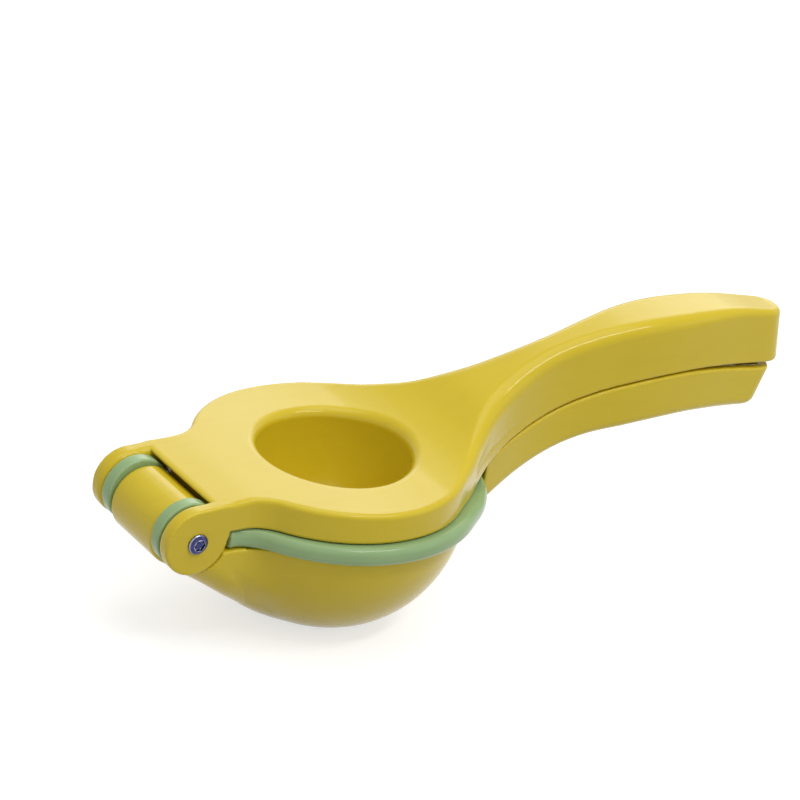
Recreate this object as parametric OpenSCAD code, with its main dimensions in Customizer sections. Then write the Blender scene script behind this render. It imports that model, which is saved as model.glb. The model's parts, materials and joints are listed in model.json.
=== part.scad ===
// Hinged citrus squeezer: three enamelled castings that share one hinge, held by a sleeve and a screw.
// The origin is the centre of the bowl's flat base. +X points along the handles, +Z points up.

/* [Bowls] */
// Outer radius of the lemon bowl at its rim
bowl_r = 36.6; // [34.8:0.1:37.4]
// Height of the lemon bowl, from its base to its rim
bowl_h = 31.5; // [29:0.5:37]
// Radius of the flat base that the squeezer stands on
base_r = 10; // [7:0.5:12]
// Wall of the lemon bowl
bowl_wall = 2.8; // [2:0.1:3.2]
// Space for the peel between one bowl and the next
peel_gap = 4.5; // [4.2:0.1:5]
// Wall of the lime cup
cup_wall = 2.4; // [2:0.1:3]
// Wall of the press dome
dome_wall = 2.4; // [2:0.1:3]
// How full the bowls' curve is: 2 is an ellipse, less is more pointed
bowl_fullness = 1.85; // [1.6:0.05:2.2]
// Radius of the rounded lip round the press dome's mouth
lip_r = 3; // [2:0.1:4]

/* [Strainer] */
// Number of juice slots in each strainer
slots = 8; // [4:1:8]
// Width of a juice slot
slot_w = 2.6; // [1.6:0.1:3]
// Radius at which the slots start
slot_from = 6; // [5.5:0.1:8]
// Length of a slot, seen from below
slot_l = 11; // [6:0.5:12]

/* [Rings] */
// Outer radius of the press arm's ring
ring_r = 37.2; // [36:0.1:39]
// Thickness of the press arm's ring
ring_t = 8.6; // [7.6:0.1:10]
// Outer radius of the lime cup's flange
flange_r = 39.9; // [39.4:0.1:41]
// How far the centre of the flange's nose is set towards the handles
nose_shift = 10; // [6:0.5:12]
// Angle from the handles at which the flange's outline leaves its circle for the nose
nose_from = 51; // [40:1:60]
// Thickness of the lime cup's flange
flange_t = 5.2; // [4:0.1:6]
// Gap between the stacked castings when they are closed
seat_gap = 0.3; // [0.25:0.05:0.5]
// Rounding of the flange's edges
flange_round = 2; // [1:0.1:2]
// Rounding of the ring's upper edge
ring_round = 2.5; // [1.5:0.1:3]
// Wall of the arms where they are hollow
arm_wall = 3; // [2.4:0.1:3.4]

/* [Hinge] */
// Distance from the bowls' axis to the hinge pin
hinge_reach = 52; // [51:0.5:56]
// Width across the outer faces of the two ears
hinge_w = 38; // [35:0.5:42]
// Height of the ring's top over the hinge pin
hinge_drop = 10.4; // [9.8:0.1:11]
// Radius of the press arm's ears
ear_r = 9.2; // [9:0.1:9.8]
// Thickness of an ear
ear_t = 4.6; // [4:0.1:5.5]
// Rounding of an ear's outer edge
ear_round = 0.6; // [0.4:0.1:2]
// Radius of the lime cup's lugs
lug_r = 9; // [8.6:0.1:9.2]
// Thickness of a lug
lug_t = 3.4; // [2.8:0.1:4]
// Radius of the bowl arm's barrel
barrel_r = 8.5; // [7.8:0.1:9]
// How far the barrel's centre lies under the pin
barrel_drop = 0.8; // [0.4:0.1:1.4]
// Gap between neighbouring knuckles, along the pin
knuckle_gap = 0.3; // [0.2:0.05:0.4]
// Height of the neck's underside where it meets the bowl
neck_foot = 3.6; // [3:0.1:6]
// Slope of the neck's underside
keel_slope = 0.6; // [0.4:0.05:0.65]
// Rounding of the neck's lower edges at the barrel
neck_corner = 4; // [3:0.5:6]
// Rounding of the neck's lower edges at the bowl
bowl_corner = 11; // [8:0.5:14]
// Gap round a knuckle, where another casting is cut back for it
knuckle_clear = 0.5; // [0.4:0.1:0.8]
// Fillet between the hinge neck and the rings, seen from above
hinge_fillet = 4; // [2:0.5:6]
// Outer diameter of the hinge sleeve
sleeve_d = 4.4; // [4:0.1:5]
// Running clearance between the sleeve and the bores, on the radius
pin_play = 0.05; // [0.03:0.01:0.08]
// Diameter of the screw's shank
shank_d = 3; // [2.5:0.1:3.2]
// Length of the screw's shank
shank_l = 14; // [8:0.5:20]
// Diameter of the screw's and the sleeve's head
head_d = 5.8; // [5.6:0.1:7.5]
// Height of a head
head_h = 1.3; // [1.2:0.1:2]
// Width of the hex socket, across the flats
socket_w = 2.6; // [1.5:0.1:3]
// Depth of the hex socket
socket_deep = 0.9; // [0.6:0.1:1]

/* [Handles] */
// Distance from the bowls' axis to the tip of the upper handle
upper_reach = 142.5; // [130:0.5:152]
// Distance from the bowls' axis to the tip of the lower handle
lower_reach = 140.5; // [124:0.5:141.5]
// Half the lower handle's width at its root on the bowl
root_wide = 14; // [12:0.5:15.5]
// Half the handles' width at the neck
neck_half = 5.8; // [5.2:0.1:8]
// Half the handles' width in the grip
grip_half = 8.4; // [7.6:0.1:10]
// Half the handles' width at the tip
tip_half = 5.4; // [5:0.1:8]
// Radius of the sweep from the ring into the handle, seen from above
neck_sweep = 50; // [44:1:54]
// Rounding of the handles' corners at the tip, seen from above
tip_round = 4.6; // [3.8:0.1:4.8]
// Rounding of the handles' long edges at the neck
neck_round = 4; // [3:0.1:5]
// Rounding of the handles' long edges in the grip
grip_round = 3.3; // [2.4:0.1:4]
// Distance from the bowls' axis to where the upper arm starts to climb
climb_at = 14; // [10:0.5:18]
// Distance from the bowls' axis to the steepest point of the climb
steep_at = 40; // [38:0.5:44]
// Height of the steepest point over the ring's top
steep_rise = 11.4; // [9:0.1:13]
// Distance from the bowls' axis to the handles' narrow neck
slim_at = 66; // [62:1:70]
// Distance from the bowls' axis to the upper handle's crest
crest_at = 105; // [98:1:110]
// Height of the crest over the ring's top
crest_rise = 27; // [24:0.5:29]
// Fall of the upper handle from its crest to its tip
tip_fall = 4.7; // [1:0.1:5.5]
// Distance from the bowls' axis to where the parting line leaves the flange
parting_at = 30; // [28:0.5:33]
// Height of the level stretch of the parting line over the ring's underside
parting_rise = 19.2; // [17:0.2:21]
// Height of the lower handle
lower_depth = 13.6; // [12:0.1:14.6]
// Gap between the two handles when they are closed
handle_gap = 0.5; // [0.3:0.1:0.8]
// Lean of the lower handle's end face
end_lean = 21; // [10:1:35]

/* [Hidden] */
$fn = 96;

yellow = "#e3c84a";
green = "#9cc290";
steel = "#b9bcc2";

// Heights of the stacked castings
flange_z = bowl_h + seat_gap;
ring_z = flange_z + flange_t + seat_gap;
top_z = ring_z + ring_t;
hinge_z = top_z - hinge_drop;
crest_z = top_z + crest_rise;

// Radii and floors of the nested bowls
bowl_in = bowl_r - bowl_wall;
cup_out = bowl_in - peel_gap;
cup_in = cup_out - cup_wall;
dome_out = cup_in - peel_gap;
dome_in = dome_out - dome_wall;
cup_floor = bowl_wall + peel_gap;
dome_floor = cup_floor + cup_wall + peel_gap;
bowl_flat = 0.8 * base_r;
cup_flat = 0.7 * base_r;
dome_flat = 0.5 * base_r;

// Places along the pin
ear_in = hinge_w / 2 - ear_t;
lug_out = ear_in - knuckle_gap;
lug_in = lug_out - lug_t;
barrel_half = lug_in - knuckle_gap;
bore_r = sleeve_d / 2 + pin_play;
bore_l = hinge_w + 2 * ear_t;
head_edge = 0.25 * head_h;
shank_spare = 2;

// The notches that clear the barrel in every pose, and the flange's nose
notch_r = barrel_r + barrel_drop + knuckle_clear;
nose_r = flange_r - nose_shift * cos(nose_from);

// Places along the arms
neck_x = sqrt(pow(ring_r + neck_sweep, 2) - pow(neck_half + neck_sweep, 2));
root_x = 0.78 * bowl_r;
root_end = neck_x + 4;
lower_hollow_x = neck_x - 4;
lower_hollow_tip = lower_reach - (lower_depth - arm_wall) * tan(end_lean);
press_hollow_x = -hinge_reach + notch_r + arm_wall;

// Clearances and small allowances
lower_clear = 0.6;
flange_inset = 0.2;
mouth_ease = 0.03;
overlap = 1;
eps = 0.01;
big = 400;

// Smooth curve through [x, z, slope] stations, level before the first and straight after the last
function hermite(p, q, x) =
    let (h = q[0] - p[0], t = (x - p[0]) / h)
    p[1] * (1 + 2 * t) * pow(1 - t, 2) + q[1] * t * t * (3 - 2 * t)
    + h * (p[2] * t * pow(1 - t, 2) - q[2] * t * t * (1 - t));
function through(s, x, i = 0) =
    x <= s[0][0] ? s[0][1] + s[0][2] * (x - s[0][0])
    : i >= len(s) - 1 ? s[i][1] + s[i][2] * (x - s[i][0])
    : x <= s[i + 1][0] ? hermite(s[i], s[i + 1], x)
    : through(s, x, i + 1);

// Side view of the arms, as stations of height and slope
top_stations = [
    [-hinge_reach, hinge_z + ear_r, 0.07],
    [-ring_r, top_z, 0],
    [climb_at, top_z, 0],
    [steep_at, top_z + steep_rise, 0.56],
    [slim_at + 2, top_z + 0.81 * crest_rise, 0.25],
    [crest_at, crest_z, 0],
    [upper_reach, crest_z - tip_fall, -0.19]];
parting_stations = [
    [parting_at, ring_z, 0],
    [parting_at + 14, ring_z + 0.2 * parting_rise, 0.4],
    [parting_at + 43, ring_z + 0.74 * parting_rise, 0.3],
    [parting_at + 76, ring_z + parting_rise, 0],
    [upper_reach, ring_z + 0.81 * parting_rise, -0.1]];
root_stations = [
    [parting_at, ring_z - 1.4 * lower_depth, 0.55],
    [parting_at + 14, parting(parting_at + 14) - 1.07 * lower_depth, 0.58],
    [parting_at + 26, parting(parting_at + 26) - lower_depth, 0.42]];
function top_z_at(x) = through(top_stations, x);
function parting(x) = through(parting_stations, x);
function under(x) =
    x < parting_at + 26 ? through(root_stations, x) : parting(x) - lower_depth;
// Rounding of the long edges grows from the ring to the grip
round_stations = [
    [climb_at, ring_round, 0],
    [steep_at, 1.3 * neck_round, 0],
    [slim_at, min(neck_round, 0.8 * neck_half), 0],
    [crest_at, grip_round, 0],
    [upper_reach, min(0.7 * grip_round, 0.5 * tip_round), 0]];
function round_at(x) = through(round_stations, x);

// Plan outlines are half outlines from the hinge to the tip, as [x, y, normal x, normal y]
function arc(cx, cy, r, from, to, n, side = 1) =
    [for (i = [0:n]) let (a = from + (to - from) * i / n)
        [cx + r * cos(a), cy + r * sin(a), side * cos(a), side * sin(a)]];
function line(x0, x1, y, n) = [for (i = [0:n]) [x0 + (x1 - x0) * i / n, y, 0, 1]];
function flank(x0, x1, n) =
    [for (i = [1:n - 1]) let (x = x0 + (x1 - x0) * i / n)
        [x, through([[x0, neck_half, 0], [crest_at, grip_half, 0], [x1, tip_half, 0]], x), 0, 1]];

// Straight neck at half width y, filleted into a ring of radius r
function neck_to_ring(x0, y, r) =
    let (fx = -sqrt(pow(r + hinge_fillet, 2) - pow(y + hinge_fillet, 2)),
         at = atan2(y + hinge_fillet, fx))
    concat(line(x0, fx, y, 6),
        arc(fx, y + hinge_fillet, hinge_fillet, -90, at - 180, 6, -1));
function ring_from(y, r) =
    atan2(y + hinge_fillet, -sqrt(pow(r + hinge_fillet, 2) - pow(y + hinge_fillet, 2)));

// Sweep out of the ring into the handle, then the handle's flank and rounded tip
sweep_at = atan2(neck_half + neck_sweep, neck_x);
function handle_from(tip) = concat(
    arc(neck_x, neck_half + neck_sweep, neck_sweep, sweep_at - 180, -90, 14, -1),
    flank(neck_x, tip - tip_round, 14),
    arc(tip - tip_round, tip_half - tip_round, tip_round, 90, 0, 7));
function press_half(x0, tip) = concat(
    neck_to_ring(x0, hinge_w / 2, ring_r),
    arc(0, 0, ring_r, ring_from(hinge_w / 2, ring_r) - 3, sweep_at + 3, 30),
    handle_from(tip));
function nose_half(clear, from) = concat(
    arc(0, 0, flange_r + clear, from, nose_from, 34),
    arc(nose_shift, 0, nose_r + clear, nose_from, 2, 14));
function flange_half(x0, y) = concat(
    neck_to_ring(x0, y, flange_r),
    nose_half(0, ring_from(y, flange_r) - 3));

// A ring of 3D points: the half outline and its mirror image, set in by d(x), at height z(x)
function ring3(half, d, z) =
    let (p = [for (h = half) [h[0] - d(h[0]) * h[2], h[1] - d(h[0]) * h[3]]],
         q = concat(p, [for (i = [len(p) - 1:-1:0]) [p[i][0], -p[i][1]]]))
    [for (v = q) [v[0], v[1], z(v[0])]];

// Skin over a stack of rings that have the same number of points, closed by strips at both ends
module skin(rings, flip = false) {
    n = len(rings[0]);
    m = n / 2;
    last = (len(rings) - 1) * n;
    sides = [for (k = [0:len(rings) - 2], i = [0:n - 1]) let (j = (i + 1) % n, a = k * n)
        each [[a + i, a + n + i, a + j], [a + j, a + n + i, a + n + j]]];
    ends = [for (i = [0:m - 2]) each [
        [i, i + 1, n - 2 - i], [i, n - 2 - i, n - 1 - i],
        [last + i, last + n - 2 - i, last + i + 1],
        [last + i, last + n - 1 - i, last + n - 2 - i]]];
    faces = concat(sides, ends);
    polyhedron([for (r = rings) each r], flip ? faces : [for (f = faces) [f[2], f[1], f[0]]]);
}

// Steps of a rounded edge: how far each is set in and set down, as shares of its radius
edge_steps = [for (a = [0:22.5:90]) [1 - cos(a), 1 - sin(a)]];

// A solid arm: its rim on one side, a face with rounded edges on the other (up = 1 or -1)
module arm_skin(outline, rim, face, up) {
    skin(concat([ring3(outline, function(x) 0, rim)],
        [for (s = edge_steps) ring3(outline,
            function(x) round_at(x) * s[0], function(x) face(x) - up * round_at(x) * s[1])]),
        up < 0);
}
// The hollow of an arm, open through its rim, which leaves an even wall under the face
module arm_hollow(outline, rim, face, up) {
    slope = function(x) (face(x + overlap) - face(x - overlap)) / (2 * overlap);
    wall = function(x) arm_wall;
    skin([
        ring3(outline, wall, function(x) rim(x) - up * overlap),
        ring3(outline, wall, function(x) face(x) - up * arm_wall * sqrt(1 + pow(slope(x), 2)))],
        up < 0);
}

// Half profile of a bowl's curve, from its rim to its floor, as [radius, height]
function bowl_curve(r, rim_z, floor_z, flat) =
    [for (a = [0:4.5:90]) let (e = 2 / bowl_fullness)
        [flat + (r - flat) * pow(cos(a), e), rim_z - (rim_z - floor_z) * pow(sin(a), e)]];
module bowl_solid(r, rim_z, floor_z, flat) {
    rotate_extrude()
        polygon(concat([[0, rim_z]], bowl_curve(r, rim_z, floor_z, flat), [[0, floor_z]]));
}

// Juice slots through a bowl's floor, standing from z0 up to z1
module juice_slots(z0, z1) {
    for (i = [0:slots - 1])
        rotate([0, 0, (i + 0.5) * 360 / slots])
            translate([slot_from, 0, z0])
                linear_extrude(z1 - z0)
                    union() {
                        translate([slot_w / 2, 0]) circle(d = slot_w);
                        translate([slot_l - slot_w / 2, 0]) circle(d = slot_w);
                        translate([slot_w / 2, -slot_w / 2]) square([slot_l - slot_w, slot_w]);
                    }
}

// A disc on the hinge axis, from y0 to y1
module knuckle(r, y0, y1, drop = 0) {
    translate([-hinge_reach, y1, hinge_z - drop]) rotate([90, 0, 0]) cylinder(r = r, h = y1 - y0);
}
module both_sides() {
    children();
    mirror([0, 1, 0]) children();
}
module hinge_bore() {
    knuckle(bore_r, -bore_l / 2, bore_l / 2);
}

// An ear of the press arm, rounded on its outer edge, for the +Y side
module ear() {
    translate([-hinge_reach, ear_in, hinge_z])
        rotate([-90, 0, 0])
            rotate_extrude()
                polygon(concat([[0, 0], [ear_r, 0]],
                    [for (a = [0:15:90])
                        [ear_r - ear_round * (1 - cos(a)), ear_t - ear_round * (1 - sin(a))]],
                    [[0, ear_t]]));
}

module press_arm() {
    rim = function(x) parting(x);
    face = function(x) top_z_at(x);
    color(yellow)
        difference() {
            union() {
                difference() {
                    arm_skin(press_half(overlap - hinge_reach, upper_reach), rim, face, 1);
                    arm_hollow(press_half(press_hollow_x, upper_reach), rim, face, 1);
                }
                both_sides() ear();
                bowl_solid(dome_out, top_z - arm_wall / 2, dome_floor, dome_flat);
            }
            bowl_solid(dome_in, top_z - lip_r, dome_floor + dome_wall, dome_flat);
            mouth();
            knuckle(notch_r, -ear_in, ear_in);
            hinge_bore();
        }
}
// The dome's mouth: a rounded lip that follows the arm's top, down to where the bowl's curve begins
module mouth() {
    edge = arc(0, 0, dome_in + lip_r + mouth_ease, 178, 2, 40);
    low = top_z - lip_r - overlap / 4;
    last = 75;
    rise = overlap / 2;
    skin(concat(
        [ring3(edge, function(x) lip_r + overlap, function(x) low - overlap)],
        [ring3(edge, function(x) lip_r, function(x) low)],
        [for (a = [0:15:last]) ring3(edge, function(x) lip_r * cos(a),
            function(x) top_z_at(x) - lip_r * (1 - sin(a)))],
        [ring3(edge, function(x) lip_r * cos(last) - rise * tan(last),
            function(x) top_z_at(x) - lip_r * (1 - sin(last)) + rise)]));
}

module lime_cup() {
    flat = function(z) function(x) z;
    flange = flange_half(-hinge_reach, hinge_w / 2 - flange_inset);
    color(green)
        difference() {
            union() {
                difference() {
                    skin(concat(
                        [for (i = [len(edge_steps) - 1:-1:0]) let (s = edge_steps[i])
                            ring3(flange, function(x) flange_round * s[0],
                                flat(flange_z + flange_round * s[1]))],
                        [for (s = edge_steps) ring3(flange, function(x) flange_round * s[0],
                            flat(flange_z + flange_t - flange_round * s[1]))]));
                    both_sides() knuckle(ear_r + knuckle_clear, lug_out, hinge_w);
                    knuckle(notch_r, -lug_in - eps, lug_in + eps);
                }
                both_sides() knuckle(lug_r, lug_in, lug_out);
                bowl_solid(cup_out, flange_z + overlap, cup_floor, cup_flat);
            }
            bowl_solid(cup_in, flange_z + flange_t + overlap, cup_floor + cup_wall, cup_flat);
            juice_slots(cup_floor - overlap, cup_floor + cup_wall + slot_l);
            hinge_bore();
        }
}

module bowl_arm() {
    color(yellow)
        difference() {
            union() {
                bowl_solid(bowl_r, bowl_h, 0, base_r);
                neck();
                lower_handle();
                knuckle(barrel_r, -barrel_half, barrel_half, barrel_drop);
            }
            bowl_solid(bowl_in, bowl_h + eps, bowl_wall, bowl_flat);
            juice_slots(-overlap, slot_l);
            hinge_bore();
        }
}
// The solid neck between the bowl and the barrel, cut back round the ears and the lugs
module neck() {
    start = -hinge_reach - 2 * overlap;
    reach = -bowl_in / 2;
    half = line(start, reach, hinge_w / 2, 16);
    keel = function(x) through([
        [start, hinge_z - barrel_drop - barrel_r, -keel_slope],
        [reach, neck_foot, -keel_slope]], x);
    corner = function(x)
        neck_corner + (bowl_corner - neck_corner) * (x - start) / (reach - start);
    difference() {
        skin(concat(
            [for (i = [len(edge_steps) - 1:-1:0]) let (s = edge_steps[i])
                ring3(half, function(x) corner(x) * s[0], function(x) keel(x) + corner(x) * s[1])],
            [ring3(half, function(x) 0, function(x) bowl_h)]));
        both_sides() knuckle(lug_r + knuckle_clear, barrel_half, ear_in);
        both_sides() knuckle(ear_r + knuckle_clear, lug_out, hinge_w);
    }
}
// The lower handle: it leaves the bowl's wall under the flange and follows the upper handle
module lower_handle() {
    rim = function(x) parting(x) - handle_gap;
    face = function(x) under(x);
    difference() {
        arm_skin(root_half(root_x, lower_reach), rim, face, -1);
        arm_hollow(root_half(lower_hollow_x, lower_hollow_tip), rim, face, -1);
        translate([0, 0, bowl_h]) linear_extrude(big) flange_well();
        translate([lower_reach, 0, parting(lower_reach)])
            rotate([0, end_lean, 0]) translate([0, -big / 2, -big / 2]) cube(big);
    }
}
// The flange's outline with its clearance, seen from above
module flange_well() {
    half = nose_half(lower_clear, 178);
    polygon([for (side = [1, -1], i = [0:len(half) - 1])
        let (p = half[side > 0 ? i : len(half) - 1 - i]) [p[0], side * p[1]]]);
}
// Half outline of the lower handle: wide at its root on the bowl, then like the upper handle
function root_half(x0, tip) = concat(
    [for (i = [0:8]) let (x = x0 + (root_end - x0) * i / 8)
        [x, through([[root_x, root_wide, -0.2], [root_end, neck_half, 0]], x), 0, 1]],
    flank(root_end, tip - tip_round, 14),
    arc(tip - tip_round, tip_half - tip_round, tip_round, 90, 0, 7));

// Button head with a hex socket, lying on the plane y = 0 and standing out towards -Y
module button_head(socket) {
    rotate([90, 0, 0])
        difference() {
            rotate_extrude()
                polygon(concat([[0, 0], [head_d / 2, 0], [head_d / 2, head_edge]],
                    [for (a = [15:15:90])
                        [head_d / 2 * cos(a), head_edge + (head_h - head_edge) * sin(a)]]));
            if (socket)
                translate([0, 0, head_h - socket_deep])
                    cylinder(d = socket_w / cos(30), h = head_h, $fn = 6);
        }
}

module hinge_screw() {
    color(steel)
        translate([-hinge_reach, -hinge_w / 2 - knuckle_gap, hinge_z]) {
            button_head(true);
            translate([0, shank_l, 0]) rotate([90, 0, 0]) cylinder(d = shank_d, h = shank_l);
        }
}

module hinge_sleeve() {
    color(steel)
        translate([-hinge_reach, 0, hinge_z]) {
            translate([0, hinge_w / 2 + knuckle_gap, 0]) mirror([0, 1, 0]) button_head(false);
            difference() {
                translate([0, hinge_w / 2 + knuckle_gap, 0])
                    rotate([90, 0, 0]) cylinder(d = sleeve_d, h = hinge_w + 2 * knuckle_gap);
                translate([0, -hinge_w / 2 - knuckle_gap + shank_l + shank_spare, 0])
                    rotate([90, 0, 0])
                        cylinder(r = shank_d / 2 + pin_play, h = shank_l + shank_spare + overlap);
            }
        }
}

press_arm();
lime_cup();
bowl_arm();
hinge_screw();
hinge_sleeve();
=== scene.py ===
# Hinged lemon squeezer: three enamelled castings that nest on one hinge, shown closed.
import json

import bpy
import numpy as np
from mathutils import Matrix, Vector


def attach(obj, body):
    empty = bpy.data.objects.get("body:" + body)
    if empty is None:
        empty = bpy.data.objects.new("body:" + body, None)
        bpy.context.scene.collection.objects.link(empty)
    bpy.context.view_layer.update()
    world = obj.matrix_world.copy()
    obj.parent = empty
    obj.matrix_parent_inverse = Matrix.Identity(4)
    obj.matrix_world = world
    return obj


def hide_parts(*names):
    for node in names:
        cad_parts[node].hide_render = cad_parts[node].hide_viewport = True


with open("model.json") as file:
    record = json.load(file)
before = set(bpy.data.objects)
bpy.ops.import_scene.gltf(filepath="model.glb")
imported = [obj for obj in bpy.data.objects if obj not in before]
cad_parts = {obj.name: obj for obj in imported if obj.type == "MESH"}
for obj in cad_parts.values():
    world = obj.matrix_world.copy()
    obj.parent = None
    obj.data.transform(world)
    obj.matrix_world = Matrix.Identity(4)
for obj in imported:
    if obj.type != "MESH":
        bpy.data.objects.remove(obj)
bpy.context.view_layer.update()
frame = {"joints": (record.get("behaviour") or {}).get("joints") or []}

# ---------------------------------------------------------------------------------------------
# Press arm: the upper casting, sand-cast aluminium under bright yellow enamel. A flat ring with
# a hollow dome hangs between two hinge ears and a swan-necked handle that is open underneath.
# It is one casting, so it is one skin over one field: sizes are in millimetres.

hinge_x, _, hinge_z = [1000 * c for c in frame["joints"][0]["pos_m"]]
ring_r = 37.2
ring_x = -0.8
ring_low = 37.3
ring_top = 45.9
arm_wall = 3.0
cast_edge = 0.7
hollow_corner = 2.0
shoulder = (8, 16)    # along x, where the ring's outline gives way to the handle's
out_of_reach = 99.0

hinge_half = 19.0
hinge_fillet = 4.0
ear_r = 9.2
ear_inner = 14.4
ear_edge = 0.6
ear_fillet = 3.0
least_fillet = 0.05
ear_band = (40, 46)    # behind the bowls' axis, where the ring's edge gives way to the ears'
notch_r = 9.7
notch_edge = 1.8
bore_r = 2.25
bore_edge = 0.3

dome_r = 20.5
dome_wall = 2.6
dome_floor = 17.0
dome_flat = 5.0
lip_r = 2.5
bowl_fullness = 1.85

tip_x = 142.5
tip_corner = 4.9
tip_lean = 7.0
crest_z = 73.0    # nothing of the arm is higher

# The handle's run, as distance from the bowls' axis against a height, half a width or a radius
top_rise = [(-58, -1.2), (-52, -1.2), (-45, -0.7), (-36, -0.1), (-28, 0), (10, 0.1), (16, 0.6),
            (22, 1.9), (30, 5.0), (40, 11.2), (50, 15.8), (60, 19.6), (72, 23.0), (84, 25.5),
            (96, 26.75), (108, 26.85), (120, 26.2), (138, 23.1)]
half_width = [(8, 36.1), (12, 34.9), (16, 33), (20, 30.4), (25, 26.3), (30, 22.2), (35, 17.7),
              (40, 13.8), (46, 10.4), (56, 7.1), (66, 5.7), (78, 6.4), (90, 7.9), (102, 8.4),
              (114, 7.7), (126, 6.3), (138, 5.4)]
edge_radius = [(4, 1.4), (16, 1.9), (26, 3.4), (40, 5.4), (52, 4.7), (66, 3.8), (85, 3.5),
               (110, 3.1), (125, 2.2), (138, 1.6)]
parting_rise = [(30, 0), (37, 1.6), (44, 4), (54, 8), (64, 11.5), (76, 15.2), (90, 18.0),
                (106, 19.1), (138, 16.1)]
soft_band = (2, 4)    # above the parting line, where the flanks' edges take up their full round


def run(x, stations):
    """Smooth curve through the stations, level outside them: its height and its slope at x."""
    at, value = np.array(stations, float).T
    slope = np.gradient(value, at)
    x = np.clip(x, at[0], at[-1])
    i = np.clip(np.searchsorted(at, x) - 1, 0, len(at) - 2)
    span = at[i + 1] - at[i]
    t = (x - at[i]) / span
    low, high, m0, m1 = value[i], value[i + 1], slope[i] * span, slope[i + 1] * span
    height = low + t * m0 + t * t * (3 * (high - low) - 2 * m0 - m1) \
        + t ** 3 * (2 * (low - high) + m0 + m1)
    grade = (m0 + 2 * t * (3 * (high - low) - 2 * m0 - m1)
             + 3 * t * t * (2 * (low - high) + m0 + m1)) / span
    return height, grade


def above(z, x, base, stations):
    """Distance above a curved face that runs along x."""
    height, grade = run(x, stations)
    return (z - base - height) / np.hypot(1, grade)


def both(a, b, r):
    """What lies in both forms, with a rounded edge of radius r."""
    return np.minimum(-r, np.maximum(a, b)) + np.hypot(np.maximum(a + r, 0), np.maximum(b + r, 0))


def either(a, b, r):
    """What lies in either form, with a fillet of radius r."""
    return np.maximum(r, np.minimum(a, b)) - np.hypot(np.maximum(r - a, 0), np.maximum(r - b, 0))


def fade(x, start, end):
    """0 before start, 1 after end, smooth between."""
    t = np.clip((x - start) / (end - start), 0, 1)
    return t * t * (3 - 2 * t)


def bowl(x, y, z, r, rim, floor, flat):
    """Distance to a bowl's curve: upright at its rim, level at its flat floor."""
    across = np.maximum(np.hypot(x, y) - flat, 1e-3) / (r - flat)
    down = np.maximum(rim - z, 1e-3) / (rim - floor)
    n = bowl_fullness
    level = (across ** n + down ** n) ** (1 / n)
    steep = level ** (1 - n) * np.hypot(across ** (n - 1) / (r - flat),
                                        down ** (n - 1) / (rim - floor))
    return (level - 1) / np.maximum(steep, 1e-4)


def round_pin(x, z, r, out=0.0, drop=0.0):
    """Distance to a round bar of radius r on the hinge axis, or a little off it."""
    return np.hypot(x - hinge_x - out, z - hinge_z + drop) - r


def arm_outline(x, y):
    """Distance to the arms' outline, seen from above."""
    half, grade = run(x, half_width)
    ring = np.hypot(x - ring_x, y) - ring_r
    ring = either(ring, np.where(x < 0, y - hinge_half, out_of_reach), hinge_fillet)
    return ring + fade(x, *shoulder) * ((y - half) / np.hypot(1, grade) - ring)


def press_arm_field(x, y, z):
    y = np.abs(y)
    # The end leans back a little from the parting line up
    lean = np.radians(tip_lean)
    end = (x - tip_x) * np.cos(lean) + (z - ring_low - parting_rise[-1][1]) * np.sin(lean)
    outline = both(arm_outline(x, y), end, tip_corner)
    top = above(z, x, ring_top, top_rise)
    inner = bowl(x, y, z, dome_r, ring_top - lip_r, dome_floor, dome_flat)
    # The underside follows the parting line, and the dome hangs below it
    low = np.minimum(-above(z, x, ring_low, parting_rise), inner - dome_wall)
    # Side view: the plate and the ears, filleted on the underside only
    fillet = ear_fillet * fade(-z, -hinge_z - ear_fillet, -hinge_z) + least_fillet
    plate = both(np.maximum(top, hinge_x - x), low, cast_edge)
    side = either(plate, round_pin(x, z, ear_r), fillet)
    # Full rounds above the parting line; close to square along it and on the ears
    upper = fade(z - ring_low - run(x, parting_rise)[0], *soft_band)
    ear = fade(-x, *ear_band)
    edge = upper * run(x, edge_radius)[0] + (1 - upper) * cast_edge
    block = both(outline, side, ear * ear_edge + (1 - ear) * edge)
    # The hollow underneath leaves even walls
    mouth = either(inner, -top, lip_r)
    hollow = both(outline + arm_wall, dome_wall - mouth, hollow_corner)
    hollow = both(hollow, hinge_x + notch_r + arm_wall - x, hollow_corner)
    shell = both(block, -hollow, cast_edge)
    arm = both(shell, -inner, lip_r)
    arm = both(arm, -np.maximum(round_pin(x, z, notch_r), y - ear_inner), notch_edge)
    return both(arm, -round_pin(x, z, bore_r), bore_edge)


# How the skin is laid: rounds of work, and the distances over which slope and bend are taken
spread_rounds = 4
settle_rounds = 6
least_steep = 0.2
settle_step = 0.05
normal_step = 0.12
bend_step = 0.5


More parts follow.
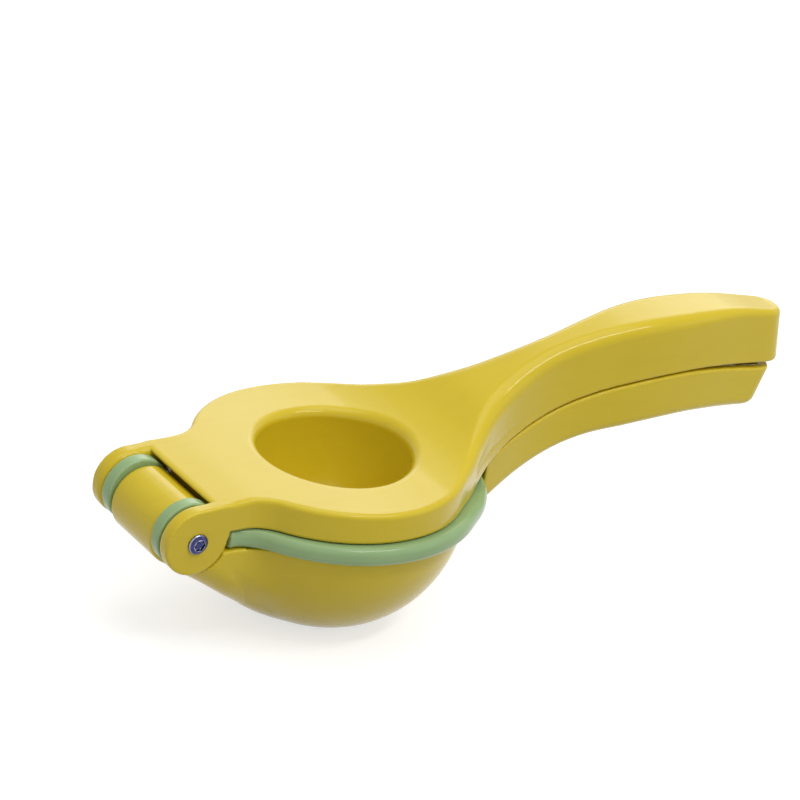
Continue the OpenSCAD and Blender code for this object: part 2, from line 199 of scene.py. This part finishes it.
def cast(name, field, low, high, pitch):
    """Skins a field with quads laid on its surface, and returns the object."""
    axes = [np.arange(a - 2 * pitch, b + 3 * pitch, pitch) for a, b in zip(low, high)]
    value = field(*np.meshgrid(*axes, indexing="ij"))
    inside = value < 0
    corners = [(i, j, k) for i in (0, 1) for j in (0, 1) for k in (0, 1)]
    shape = [n - 1 for n in value.shape]

    def corner(grid, c):
        return grid[tuple(slice(o, o + n) for o, n in zip(c, shape))]

    count = sum(corner(inside, c).astype(np.int8) for c in corners)
    cells = np.argwhere((count > 0) & (count < 8))
    number = np.full(shape, -1)
    number[tuple(cells.T)] = np.arange(len(cells))
    # A vertex in each crossed cell, at the middle of its edges' crossings
    total, crossings = np.zeros((len(cells), 3)), np.zeros((len(cells), 1))
    for a in corners:
        for axis in range(3):
            if a[axis]:
                continue
            b = tuple(a[i] + (i == axis) for i in range(3))
            fa, fb = (value[tuple((cells + c).T)] for c in (a, b))
            crossed = ((fa < 0) != (fb < 0))[:, None]
            share = (fa / np.where(fa == fb, 1, fa - fb))[:, None]
            place = np.array(a) + share * (np.array(b) - np.array(a))
            total += crossed * place
            crossings += crossed
    point = np.array([a[0] for a in axes]) + pitch * (cells + total / crossings)
    # A quad round each crossed edge of the grid
    quads = []
    for axis in range(3):
        u, v = [(axis + 1) % 3, (axis + 2) % 3]
        first = np.moveaxis(inside, axis, 0)
        change = np.moveaxis(first[1:] != first[:-1], 0, axis)
        for at, flips in ((np.argwhere(change & np.moveaxis(first[:-1], 0, axis)), False),
                          (np.argwhere(change & np.moveaxis(first[1:], 0, axis)), True)):
            at = at[(at[:, u] > 0) & (at[:, v] > 0)]
            ring = []
            for du, dv in ((0, 0), (1, 0), (1, 1), (0, 1)):
                cell = at.copy()
                cell[:, u] -= du
                cell[:, v] -= dv
                ring.append(number[tuple(cell.T)])
            quads.append(np.stack(ring if not flips else ring[::-1], 1))
    quads = np.concatenate(quads)

    def slope(p, step):
        offsets = step * np.eye(3)
        return np.stack([field(*(p + o).T) - field(*(p - o).T) for o in offsets], 1) / (2 * step)

    # Spread the vertices evenly over the surface, and set each one on it
    ends = np.concatenate([quads, np.roll(quads, 1, 1)]).ravel()
    others = np.concatenate([np.roll(quads, 1, 1), quads]).ravel()
    meets = np.bincount(ends, minlength=len(point))[:, None]
    for rounds in range(settle_rounds):
        if rounds < spread_rounds:
            middle = np.stack([np.bincount(ends, point[others, i], len(point))
                               for i in range(3)], 1) / meets
            point += 0.5 * (middle - point)
        grade = slope(point, settle_step)
        steep = np.maximum((grade ** 2).sum(1), least_steep)
        point -= (np.clip(field(*point.T), -pitch, pitch) / steep)[:, None] * grade
    normal = slope(point, normal_step)
    normal /= np.linalg.norm(normal, axis=1, keepdims=True)
    # How far the surface bends, out at an edge or in at a corner: for the wear on its edges, and
    # for the painted shade in its hollows
    bend = sum(field(*(point + s * bend_step * o).T) for s in (1, -1) for o in np.eye(3)) \
        / bend_step ** 2

    mesh = bpy.data.meshes.new(name)
    mesh.from_pydata((0.001 * point).tolist(), [], quads.tolist())
    mesh.polygons.foreach_set("use_smooth", np.ones(len(quads), bool))
    mesh.normals_split_custom_set_from_vertices(normal.tolist())
    mesh.attributes.new("bend", "FLOAT", "POINT").data.foreach_set(
        "value", np.clip(bend, -1, 1).astype(np.float32))
    made = bpy.data.objects.new(name, mesh)
    bpy.context.scene.collection.objects.link(made)
    return made


class Shader:
    """A socket in a material. Sums and products of sockets become Math nodes."""

    def __init__(self, tree, socket=None):
        self.tree = tree
        self.socket = socket

    def node(self, kind, settings=None, inputs=None, output=0):
        made = self.tree.nodes.new("ShaderNode" + kind)
        for name, value in (settings or {}).items():
            setattr(made, name, value)
        for name, value in (inputs or {}).items():
            if isinstance(value, Shader):
                self.tree.links.new(value.socket, made.inputs[name])
            else:
                made.inputs[name].default_value = value
        return Shader(self.tree, made.outputs[output])

    def maths(self, operation, first, second=0.0):
        return self.node("Math", {"operation": operation}, {0: first, 1: second})

    def mix(self, factor, first, second):
        first, second = [(*c, 1) if isinstance(c, tuple) else c for c in (first, second)]
        return self.node("Mix", {"data_type": "RGBA"}, {0: factor, 6: first, 7: second}, 2)

    def limit(self, low, high):
        return self.node("MapRange", {"interpolation_type": "SMOOTHSTEP"},
                         {"Value": self, "From Min": low, "From Max": high})

    def __add__(self, other):
        return self.maths("ADD", self, other)

    def __radd__(self, other):
        return self.maths("ADD", other, self)

    def __sub__(self, other):
        return self.maths("SUBTRACT", self, other)

    def __rsub__(self, other):
        return self.maths("SUBTRACT", other, self)

    def __mul__(self, other):
        return self.maths("MULTIPLY", self, other)

    def __rmul__(self, other):
        return self.maths("MULTIPLY", other, self)


def new_material(name):
    """A material with its Principled shader's node, and a Shader to build with."""
    material = bpy.data.materials.new(name)
    material.use_nodes = True
    principled = material.node_tree.nodes["Principled BSDF"]
    return material, principled, Shader(material.node_tree)


def enamel(name, colour, deep_tone_and_shade, rubbed):
    """Stoved enamel: glassy, a little wavy and thinner on the edges, with painted shade darkening
    its hollows.
    """
    material, principled, s = new_material(name)
    place = s.node("TexCoord", output="Object")
    # Mottling some 25 mm across, orange peel of 2 mm, dust of half a millimetre, and streaks
    # that run along x
    cloud = s.node("TexNoise", {}, {"Vector": place, "Scale": 38.0, "Detail": 3.0})
    grain = s.node("TexNoise", {}, {"Vector": place, "Scale": 420.0, "Detail": 2.0,
                                    "Roughness": 0.45})
    dust = s.node("TexNoise", {}, {"Vector": place, "Scale": 1900.0, "Detail": 1.0})
    brushed = s.node("VectorMath", {"operation": "MULTIPLY"}, {0: place, 1: (40, 330, 330)})
    streak = s.node("TexNoise", {}, {"Vector": brushed, "Scale": 1.0, "Detail": 3.0})
    bend = s.node("Attribute", {"attribute_name": "bend"}, output="Fac")
    worn = (bend + 0.35 * cloud).limit(0.75, 1.3)
    # Painted shade: where the surface bends inwards, in hollows and fillets, the colour turns to
    # the darker tone
    hollow_shade = (0 - bend).limit(0.05, 0.5)
    shade = s.mix(0.4 * cloud.limit(0.25, 0.8) + 0.2 * streak.limit(0.4, 0.75), colour, deep_tone_and_shade)
    shade = s.mix(0.35 * hollow_shade, shade, deep_tone_and_shade)
    shade = s.mix(0.55 * worn, shade, rubbed)
    rough = 0.13 + 0.06 * cloud + 0.06 * streak + 0.04 * dust + 0.12 * worn
    wave = s.node("Bump", {}, {"Strength": 0.22, "Distance": 0.00012,
                               "Height": grain + 0.25 * dust})
    s.tree.links.new(shade.socket, principled.inputs["Base Color"])
    s.tree.links.new(rough.socket, principled.inputs["Roughness"])
    s.tree.links.new(wave.socket, principled.inputs["Normal"])
    principled.inputs["Specular IOR Level"].default_value = 0.17
    principled.inputs["Coat Weight"].default_value = 0.2
    principled.inputs["Coat Roughness"].default_value = 0.04
    return material


yellow = enamel("yellow enamel", colour=(0.625, 0.475, 0.018), deep_tone_and_shade=(0.57, 0.42, 0.014),
                rubbed=(0.70, 0.54, 0.04))

pitch = 0.65    # the size of the skin's quads
press_arm = cast("press_arm_casting", press_arm_field,
                 (hinge_x - ear_r, -ring_r, dome_floor - dome_wall), (tip_x, ring_r, crest_z),
                 pitch)
press_arm.data.materials.append(yellow)
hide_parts("press_arm")
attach(press_arm, "press")

# ---------------------------------------------------------------------------------------------
# Lime cup: the middle casting, in pale green enamel. Its rounded flange shows between the yellow
# arms, two lugs hang it on the hinge inside the ears, and a slotted strainer cup nests below.

flange_r = 39.9
flange_low = 31.6
flange_top = 37.0
flange_half = 18.8
flange_edge = 2.2
nose_r = 33.6
nose_x = 10.0
lug_r = 9.0
lug_out = 14.1
lug_in = 10.5
lug_edge = 0.5
ear_gap = 1.0
ear_cut_edge = 0.9
flange_notch = 10.8
flange_notch_edge = 0.4

cup_r = 29.3
cup_wall = 2.6
cup_floor = 7.3
cup_flat = 7.0
cup_lip = 1.6
cup_overlap = 1.0

slots = 8
slot_half = 1.3
slot_start = 6.0
slot_end = 17.0
slot_edge = 0.5


def juice_slots(x, y):
    """Distance to the nearest of the radial slots in a strainer's floor."""
    sector = 2 * np.pi / slots
    turn = np.mod(np.arctan2(y, x), sector) - sector / 2
    out, off = np.hypot(x, y) * np.cos(turn), np.hypot(x, y) * np.sin(turn)
    middle, reach = (slot_start + slot_end) / 2, (slot_end - slot_start) / 2 - slot_half
    return np.hypot(np.maximum(np.abs(out - middle) - reach, 0), off) - slot_half


def flange_outline(x, y):
    """Distance to the flange's outline: a disc drawn out to a blunt nose under the handle."""
    cosine = (flange_r - nose_r) / nose_x
    sine = np.sqrt(1 - cosine ** 2)
    disc = np.hypot(x, y) - flange_r
    nose = np.hypot(x - nose_x, y) - nose_r
    flank = x * cosine + y * sine - flange_r
    along = x * sine - y * cosine
    return np.where(along < 0, disc, np.where(along > nose_x * sine, nose, flank))


def slab(v, low, high):
    """Distance to what lies between low and high."""
    return np.abs(v - (low + high) / 2) - (high - low) / 2


def lime_cup_field(x, y, z):
    y = np.abs(y)
    ring = flange_outline(x, y)
    neck = np.maximum(y - flange_half, np.maximum(hinge_x - x, x))
    outline = either(ring, neck, hinge_fillet)
    flange = both(outline, slab(z, flange_low, flange_top), flange_edge)
    # Cut back for the ears outside the lugs, and for the barrel between them
    ear_cut = np.maximum(x - hinge_x - ear_r - ear_gap, lug_out - y)
    flange = both(flange, -ear_cut, ear_cut_edge)
    barrel_cut = np.maximum(round_pin(x, z, flange_notch), y - lug_in)
    flange = both(flange, -barrel_cut, flange_notch_edge)
    lug = both(round_pin(x, z, lug_r), slab(y, lug_in, lug_out), lug_edge)
    flange = np.minimum(flange, lug)
    outer = bowl(x, y, z, cup_r, flange_low, cup_floor, cup_flat)
    inner = bowl(x, y, z, cup_r - cup_wall, flange_low, cup_floor + cup_wall, cup_flat)
    flange = both(flange, -inner, cup_lip)
    cup = np.maximum(np.maximum(outer, z - flange_low - cup_overlap), -inner)
    cup = both(cup, -juice_slots(x, y), slot_edge)
    return both(np.minimum(flange, cup), -round_pin(x, z, bore_r), bore_edge)


green = enamel("green enamel", colour=(0.29, 0.43, 0.2), deep_tone_and_shade=(0.23, 0.36, 0.155),
               rubbed=(0.38, 0.51, 0.26))

lime_cup = cast("lime_cup_casting", lime_cup_field,
                (hinge_x - lug_r, -flange_r, cup_floor),
                (nose_x + nose_r, flange_r, hinge_z + lug_r), pitch)
lime_cup.data.materials.append(green)
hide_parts("lime_cup")
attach(lime_cup, "cup")

# ---------------------------------------------------------------------------------------------
# Bowl arm: the lower casting, in the same yellow enamel. The lemon bowl stands on a small flat
# base; a thick neck ends in the hinge's barrel, and the lower handle is open on its upper side.

bowl_r = 36.6
bowl_top = 31.5
bowl_wall = 2.8
base_r = 10.0
bowl_flat = 8.0
foot_edge = 0.3
slot_top = 17.0

barrel_r = 9.2
barrel_half = 10.4
barrel_out = 0.8
barrel_drop = 1.6
barrel_edge = 1.1
ear_clear = 0.25
pocket_edge = 0.2
lower_clear = 0.6

keel = [(-62, 29), (-52, 24), (-44, 19.1), (-36, 13.7), (-28, 8.5), (-20, 5.2), (-10, 3.3)]
neck_start = -42.0
neck_end = -16.0
neck_past = 3.0    # past the hinge axis
neck_edge = 7.0
neck_taper = 6.5
neck_fillet = 9.0
keel_fillet = 4.0
fillet_band = (3, 11)    # above the keel, where its fillet grows into the neck's

lower_tip = 141.3
end_lean = 21.0
heel_edge = 1.5
lower_edge = 3.0
handle_fillet = 6.0
handle_gap = 0.5
gap_at_tip = 1.1
gap_start = 100.0
root_start = 28.0
trough_start = 47.0
trough_edge = 2.5
lower_rise = 20.0    # nothing of the arm is higher above the ring's underside
root_width = [(26, 15), (36, 12.6), (46, 9.8), (56, 7.1), (66, 5.7), (78, 6.4), (90, 7.9),
              (102, 8.4), (114, 7.7), (126, 6.3), (138, 5.4)]
under_rise = [(30, -19.2), (37, -15.4), (44, -10.6), (54, -6), (64, -2.1), (76, 1.9), (90, 4.1),
              (106, 5.3), (138, 2.6)]


def bowl_arm_field(x, y, z):
    y = np.abs(y)
    outer = bowl(x, y, z, bowl_r, bowl_top, 0.0, base_r)
    # Neck and barrel
    depth, grade = run(x, keel)
    side = y - hinge_half + neck_taper * fade(x, neck_start, neck_end)
    neck = both(side, (depth - z) / np.hypot(1, grade), neck_edge)
    neck = np.maximum(neck, np.maximum(hinge_x - neck_past - x, x - neck_end))
    widen = fade(z - depth, *fillet_band)
    body = either(outer, neck, keel_fillet + (neck_fillet - keel_fillet) * widen)
    # Lower handle, blended into the bowl's side
    half, grade = run(x, root_width)
    gap = gap_at_tip * fade(x, gap_start, lower_tip)
    rim = above(z + gap, x, ring_low - handle_gap, parting_rise)
    under = -above(z, x, ring_low, under_rise)
    lean = np.radians(end_lean)
    end = (x - lower_tip) * np.cos(lean) \
        - (z - ring_low - parting_rise[-1][1] + handle_gap) * np.sin(lean)
    side = both((y - half) / np.hypot(1, grade), end, tip_corner)
    handle = both(side, both(under, end, heel_edge), lower_edge)
    handle = np.maximum(handle, root_start - x)
    body = either(body, handle, handle_fillet)
    flange_well = np.maximum(flange_outline(x, y) - lower_clear, bowl_top - z)
    level = np.where(x < 0, z - bowl_top, rim)
    body = both(body, level, cast_edge)
    body = both(body, -z, foot_edge)
    body = both(body, -flange_well, cast_edge)
    trough = both(side + arm_wall, under + arm_wall, trough_edge)
    trough = both(trough, trough_start - x, hollow_corner)
    body = both(body, -trough, cast_edge)
    # Clearance round the ears and the lugs
    pocket = np.maximum(round_pin(x, z, ear_r + ear_clear), barrel_half - y)
    body = both(body, -pocket, pocket_edge)
    barrel = round_pin(x, z, barrel_r, barrel_out, barrel_drop)
    body = np.minimum(body, both(barrel, y - barrel_half, barrel_edge))
    inner = bowl(x, y, z, bowl_r - bowl_wall, bowl_top, bowl_wall, bowl_flat)
    body = both(body, -inner, cast_edge)
    body = both(body, -np.maximum(juice_slots(x, y), z - slot_top), slot_edge)
    return both(body, -round_pin(x, z, bore_r), bore_edge)


bowl_arm = cast("bowl_arm_casting", bowl_arm_field,
                (hinge_x - barrel_r, -bowl_r, 0), (lower_tip, bowl_r, ring_low + lower_rise),
                pitch)
bowl_arm.data.materials.append(yellow)
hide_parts("bowl_arm")
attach(bowl_arm, "bowl")

# ---------------------------------------------------------------------------------------------
# Hinge screw and sleeve: turned bright steel. Its dark navy colour is a painted reflection of a
# dark room, and its pale rims are painted highlights. The button head with its hex socket sits on
# the near ear; the sleeve comes through from the far one as the axle.

head_r = 2.85
head_h = 1.2
head_edge = 0.25
head_seat = hinge_half + 0.02
socket_half = 1.4
socket_deep = 0.9
turns = 60

# The socket from its bottom up: the share of the hexagon's size, and the depth
socket_profile = [(0.02, socket_deep + 0.25), (0.97, socket_deep), (1.0, socket_deep - 0.05),
                  (1.0, 0.12), (1.03, 0.04), (1.07, 0.02)]


def turned(profile, socket):
    """Turns (radius, height) pairs round a pin, round a hexagon's rings if it has a socket."""
    angle = np.arange(turns) * 2 * np.pi / turns
    hexagon = socket_half / np.cos(np.mod(angle, np.pi / 3) - np.pi / 6)
    rings = []
    if socket:
        rings += [(hexagon * share, np.full(turns, head_h - depth))
                  for share, depth in socket_profile]
    rings += [(np.full(turns, r), np.full(turns, h)) for r, h in profile]
    points = np.concatenate([np.stack([r * np.cos(angle), r * np.sin(angle), h], 1)
                             for r, h in rings])
    faces = []
    for ring in range(len(rings) - 1):
        for i in range(turns):
            a, b = ring * turns + i, ring * turns + (i + 1) % turns
            faces.append((a, a + turns, b + turns, b))
    last = len(rings) - 1
    faces.append(tuple(range(turns)))
    faces.append(tuple(last * turns + i for i in reversed(range(turns))))
    return points, faces


def dome_head():
    """The button head's profile, from near its middle to the seat."""
    steps = np.radians(np.arange(60, -1, -6))
    return [(head_r * np.cos(a), head_edge + (head_h - head_edge) * np.sin(a)) for a in steps] \
        + [(head_r, 0.15), (head_r - 0.15, 0.0)]


def place_pin(name, points, faces, side, material):
    """Lays a turned piece along the hinge: side -1 stands it out of the near ear."""
    points = np.stack([hinge_x + points[:, 0], side * (head_seat + points[:, 2]),
                       hinge_z + points[:, 1]], 1)
    mesh = bpy.data.meshes.new(name)
    mesh.from_pydata((0.001 * points).tolist(), [], faces)
    mesh.polygons.foreach_set("use_smooth", np.ones(len(faces), bool))
    if side > 0:
        mesh.flip_normals()
    made = bpy.data.objects.new(name, mesh)
    bpy.context.scene.collection.objects.link(made)
    mesh.materials.append(material)
    return made


def steel_painted_dark(name):
    """Glossy steel coloured dark navy, a painted reflection of a dark room, with painted
    highlights round the socket's rim and the head's edge.
    """
    material, principled, s = new_material(name)
    place = s.node("TexCoord", output="Object")
    cloud = s.node("TexNoise", {}, {"Vector": place, "Scale": 600.0, "Detail": 3.0})
    marks = s.node("TexNoise", {}, {"Vector": place, "Scale": 5200.0, "Detail": 2.0})
    # Distance from the hinge axis, in millimetres
    axis = (0.001 * hinge_x, 0, 0.001 * hinge_z)
    off = s.node("VectorMath", {"operation": "SUBTRACT"}, {0: place, 1: axis})
    off = s.node("VectorMath", {"operation": "MULTIPLY"}, {0: off, 1: (1000, 0, 1000)})
    out = s.node("VectorMath", {"operation": "LENGTH"}, {0: off}, "Value")
    # Painted highlights: a pale colour round the socket's rim and the head's edge
    socket_rim = 1 - s.maths("ABSOLUTE", out - 1.1 * socket_half).limit(0.05, 0.2)
    head_rim = out.limit(head_r - 0.35, head_r - 0.1)
    painted_rim_glint = s.maths("MAXIMUM", socket_rim, head_rim) * (0.5 + cloud).limit(0.7, 1.1)
    # Painted reflection: the dark navy colour stands for a dark room mirrored in the steel
    shade = s.mix(cloud.limit(0.35, 0.75), (0.06, 0.066, 0.17), (0.036, 0.04, 0.11))
    shade = s.mix(0.5 * painted_rim_glint, shade, (0.60, 0.62, 0.72))
    rough = 0.05 + 0.08 * cloud + 0.05 * marks
    fine = s.node("Bump", {}, {"Strength": 0.25, "Distance": 0.00003, "Height": marks})
    s.tree.links.new(shade.socket, principled.inputs["Base Color"])
    s.tree.links.new(rough.socket, principled.inputs["Roughness"])
    s.tree.links.new(fine.socket, principled.inputs["Normal"])
    principled.inputs["Metallic"].default_value = 1.0
    return material


steel = steel_painted_dark("steel with painted reflections")
screw = place_pin("hinge_screw_head", *turned(dome_head(), socket=True), -1, steel)
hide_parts("hinge_screw")
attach(screw, "bowl")

sleeve_r = 2.2
sleeve_profile = [(0.05, head_h)] + dome_head() \
    + [(sleeve_r + 0.2, 0.0), (sleeve_r, -0.1), (sleeve_r, -2 * head_seat + 0.1),
       (sleeve_r - 0.15, -2 * head_seat)]
sleeve = place_pin("hinge_sleeve_turned", *turned(sleeve_profile, socket=False), 1, steel)
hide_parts("hinge_sleeve")
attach(sleeve, "bowl")

# ---------------------------------------------------------------------------------------------
# Setting: a seamless pale floor, soft boxes overhead, in front and behind with three dim fills,
# and a long lens over a metre away, rolled a little so that the handles rise to the right.

floor_half = 6.0
floor_glow = 0.66
room_level = 0.56

floor_mesh = bpy.data.meshes.new("floor")
floor_mesh.from_pydata([(floor_half * x, floor_half * y, 0)
                        for x, y in ((-1, -1), (1, -1), (1, 1), (-1, 1))], [], [(0, 1, 2, 3)])
floor = bpy.data.objects.new("floor", floor_mesh)
bpy.context.scene.collection.objects.link(floor)
floor_material, floor_shader, s = new_material("pale floor")


def seen_and_mirrored(s, plain, bright):
    """The plain level on what the light falls on; the bright one for the eye and in the gloss."""
    ray = s.node("LightPath", output="Is Camera Ray")
    for kind in ("Is Glossy Ray", "Is Transmission Ray"):
        ray = s.maths("MAXIMUM", ray, s.node("LightPath", output=kind))
    return s.mix(ray, (plain,) * 3, (bright,) * 3).socket


floor_shader.inputs["Base Color"].default_value = (0.5, 0.5, 0.5, 1)
floor_shader.inputs["Roughness"].default_value = 0.9
floor_shader.inputs["Specular IOR Level"].default_value = 0.1
floor_shader.inputs["Emission Strength"].default_value = 1.0
s.tree.links.new(seen_and_mirrored(s, 0.0, floor_glow), floor_shader.inputs["Emission Color"])
floor_mesh.materials.append(floor_material)

world = bpy.data.worlds.new("studio")
bpy.context.scene.world = world
world.use_nodes = True
background = world.node_tree.nodes["Background"]
background.inputs["Strength"].default_value = 1.0
world.node_tree.links.new(seen_and_mirrored(Shader(world.node_tree), room_level, 1.0),
                          background.inputs["Color"])


def softbox(name, place, aim, width, depth, watts):
    """A rectangular lamp, turned to face its aim."""
    lamp = bpy.data.lights.new(name, "AREA")
    lamp.shape = "RECTANGLE"
    lamp.size = width
    lamp.size_y = depth
    lamp.energy = watts
    made = bpy.data.objects.new(name, lamp)
    made.location = place
    made.rotation_euler = (Vector(aim) - Vector(place)).to_track_quat("-Z", "Y").to_euler()
    bpy.context.scene.collection.objects.link(made)


centre = (0.03, 0, 0.04)
handle_side = (0.08, 0, 0.05)
softbox("overhead box", (0.03, 0, 1.3), centre, 1.0, 1.0, 5.6)
softbox("front strip", (0.22, -0.62, 1.06), centre, 0.75, 0.15, 4.2)
softbox("back box", (0.72, 0.95, 0.68), centre, 1.3, 0.85, 2.2)
softbox("back core", (0.76, 0.95, 0.60), centre, 0.75, 0.45, 1.2)
softbox("right box", (0.9, -0.75, 0.5), handle_side, 0.5, 0.5, 0.4)
softbox("left box", (-0.9, -0.9, 0.7), centre, 0.6, 0.6, 0.4)
softbox("handle box", (0.42, -0.45, 0.22), handle_side, 0.3, 0.3, 0.08)

# The lens: its turn about +Z, its height of view and its roll, in degrees; its length in pixels
# of the frame; and where the hinge stands in the lens's own axes, in metres
view_turn, view_height, view_roll = np.radians([-37.569, 26.105, -9.678])
lens_px = 5248.8
frame_px = 800
hinge_seen = Vector((-0.061509, -0.028028, -1.342668))
right = Vector((np.cos(view_turn), np.sin(view_turn), 0))
back = Vector((np.sin(view_turn) * np.cos(view_height), -np.cos(view_turn) * np.cos(view_height),
               np.sin(view_height)))
looks = Matrix.Rotation(view_roll, 3, "Z") @ Matrix((right, back.cross(right), back))
camera_data = bpy.data.cameras.new("camera")
camera_data.sensor_width = 36.0
camera_data.lens = lens_px / frame_px * camera_data.sensor_width
camera_data.clip_end = 20
camera = bpy.data.objects.new("camera", camera_data)
hinge_point = Vector(frame["joints"][0]["pos_m"])
camera.matrix_world = Matrix.Translation(hinge_point - looks.transposed() @ hinge_seen) \
    @ looks.transposed().to_4x4()
bpy.context.scene.collection.objects.link(camera)
bpy.context.scene.camera = camera
bpy.context.scene.view_settings.view_transform = "Standard"
